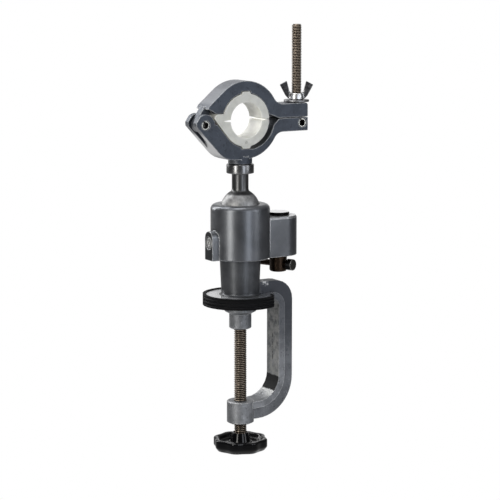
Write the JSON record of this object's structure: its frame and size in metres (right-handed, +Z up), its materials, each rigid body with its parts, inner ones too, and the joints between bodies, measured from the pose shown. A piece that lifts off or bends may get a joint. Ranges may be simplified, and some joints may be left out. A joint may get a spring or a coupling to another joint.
{
  "type": "clamp-on bench vise",
  "caption": "Clamp-on bench vise: a C-shaped bracket with a clamp screw, a locking ball head and a hinged collar with a split sleeve that holds a tool by its round neck",
  "frame": {"origin": "centre of the underside of the table pad, on the axis of the clamp screw", "axes": "+Z up along the clamp screw, +X from the screw towards the spine of the bracket, Y along the bore of the collar with the visible front at -Y"},
  "size_m": [0.1083, 0.0745, 0.3383],
  "materials": {
    "cast_grey": "rough cast grey enamel",
    "satin_grey": "smooth satin grey enamel",
    "slate_cast": "slate grey cast finish, worn bright at the edges",
    "dark_steel": "dark brown steel",
    "bright_steel": "polished plated steel",
    "zinc_steel": "zinc plated steel",
    "black_rubber": "matte black rubber",
    "black_plastic": "glossy black moulded plastic",
    "white_nylon": "milky white nylon"
  },
  "bodies": {
    "bracket": {"bracket_frame": "cast_grey", "table_pad": "black_rubber", "ball_housing": "satin_grey", "fulcrum_screw": "zinc_steel", "lock_bolt": "bright_steel"},
    "lever": {"rocker_lever": "zinc_steel"},
    "lock_washer": {"thrust_washer": "zinc_steel"},
    "barrel_nut": {"lock_nut": "dark_steel"},
    "bar": {"tommy_bar": "dark_steel", "tommy_bar_cap_front": "dark_steel", "tommy_bar_cap_rear": "dark_steel"},
    "seat": {"ball_seat": "zinc_steel"},
    "ball": {"ball_stud": "bright_steel"},
    "collar": {"lower_jaw": "slate_cast", "hinge_pin": "bright_steel", "swing_pin": "bright_steel", "reducing_sleeve": "white_nylon"},
    "jaw": {"upper_jaw": "slate_cast"},
    "eye_bolt": {"swing_bolt": "dark_steel"},
    "ear_washer": {"flat_washer": "bright_steel"},
    "wings": {"wing_nut": "zinc_steel"},
    "cup": {"pressure_cup": "cast_grey"},
    "screw": {"clamp_screw": "dark_steel", "cup_retaining_ring": "zinc_steel", "hand_knob": "black_plastic", "knob_insert": "zinc_steel"}
  },
  "joints": [
    {"name": "cup_travel", "type": "slide", "parent": "bracket", "child": "cup", "axis": [0, 0, 1], "range_m": [-0.055, 0]},
    {"name": "screw_turn", "type": "hinge", "parent": "cup", "child": "screw", "pos_m": [0, 0, -0.05], "axis": [0, 0, 1], "range_deg": [-13200, 0]},
    {"name": "lever_rock", "type": "hinge", "parent": "bracket", "child": "lever", "pos_m": [-0.0126, 0, 0.0509], "axis": [0, -1, 0], "range_deg": [-1.1, 0.15]},
    {"name": "washer_travel", "type": "slide", "parent": "bracket", "child": "lock_washer", "axis": [0, 0, 1], "range_m": [-0.00086, 0.0001]},
    {"name": "lock_nut_turn", "type": "hinge", "parent": "lock_washer", "child": "barrel_nut", "pos_m": [0.0353, 0, 0.035], "axis": [0, 0, 1], "range_deg": [-250, 30]},
    {"name": "tommy_slide", "type": "slide", "parent": "barrel_nut", "child": "bar", "axis": [0.4059, -0.9139, 0], "range_m": [-0.0018, 0.034]},
    {"name": "head_pan", "type": "hinge", "parent": "bracket", "child": "seat", "pos_m": [0, 0, 0.0765], "axis": [0, 0, 1], "continuous": true},
    {"name": "head_tilt", "type": "hinge", "parent": "seat", "child": "ball", "pos_m": [0, 0, 0.0765], "axis": [0, 1, 0], "range_deg": [-45, 45]},
    {"name": "collar_spin", "type": "hinge", "parent": "ball", "child": "collar", "pos_m": [0, 0, 0.1118], "axis": [0, 0, 1], "continuous": true},
    {"name": "jaw_open", "type": "hinge", "parent": "collar", "child": "jaw", "pos_m": [-0.036, 0, 0.1443], "axis": [0, -1, 0], "range_deg": [0, 30]},
    {"name": "bolt_swing", "type": "hinge", "parent": "collar", "child": "eye_bolt", "pos_m": [0.052, 0, 0.1423], "axis": [0, 1, 0], "range_deg": [0, 100]},
    {"name": "washer_lift", "type": "slide", "parent": "eye_bolt", "child": "ear_washer", "axis": [0, 0, 1], "range_m": [0, 0.0488]},
    {"name": "wing_nut_turn", "type": "hinge", "parent": "ear_washer", "child": "wings", "pos_m": [0.052, 0, 0.1618], "axis": [0, 0, 1], "range_deg": [0, 14070]}
  ],
  "couplings": [
    {"joint": "screw_turn", "follows": "cup_travel", "rad_per_m": 4188.8},
    {"joint": "lock_nut_turn", "follows": "washer_travel", "rad_per_m": 5026.6},
    {"joint": "lever_rock", "follows": "washer_travel", "rad_per_m": 20.877},
    {"joint": "wing_nut_turn", "follows": "washer_lift", "rad_per_m": 5026.6},
    {"joint": "jaw_open", "follows": "washer_lift", "rad_per_m": 10.717}
  ]
}
